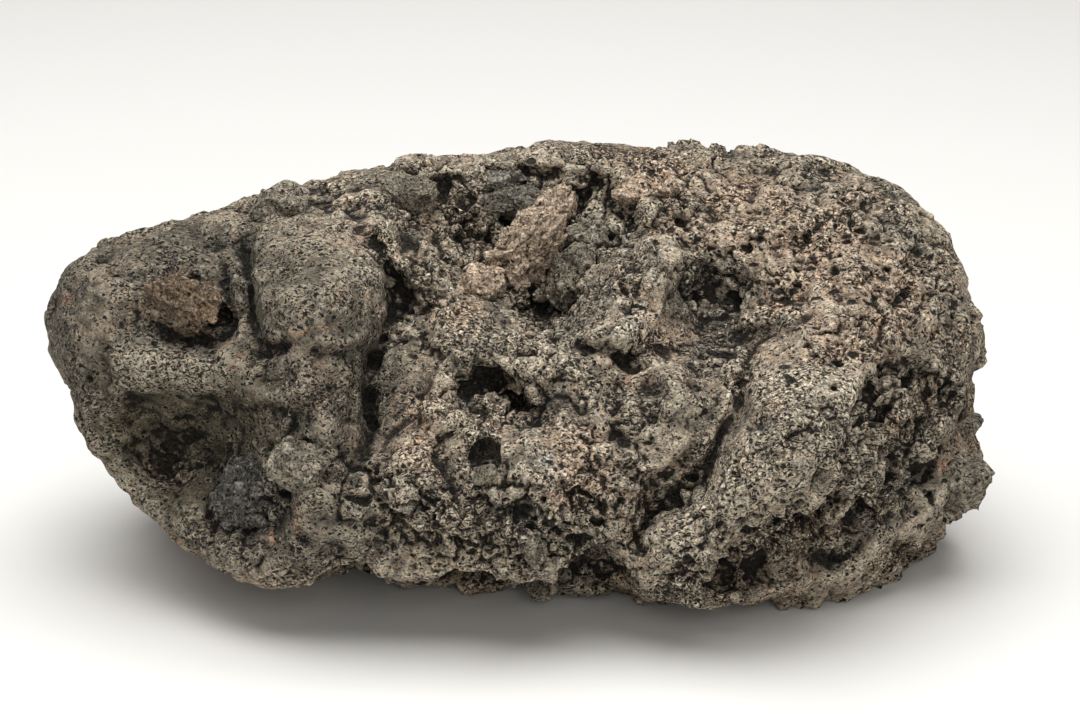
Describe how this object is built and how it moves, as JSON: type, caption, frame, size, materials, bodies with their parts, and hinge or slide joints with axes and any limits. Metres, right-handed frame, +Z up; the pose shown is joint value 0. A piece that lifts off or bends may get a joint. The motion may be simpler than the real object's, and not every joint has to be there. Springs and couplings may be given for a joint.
{
  "type": "lava rock",
  "caption": "Long rounded lump of porous grey-brown lava with a cratered top, a broad leaning front and a flat resting face.",
  "frame": {"origin": "on the surface the rock lies on, under the middle of its bounding box", "axes": "+X along the length, +Y away from the broad front face, +Z up"},
  "size_m": [0.265, 0.1566, 0.1143],
  "materials": {
    "lava": "rough matt porous lava, grey to brown with warm tan patches and dark pores"
  },
  "bodies": {
    "root": {"lava_rock": "lava"}
  },
  "joints": []
}
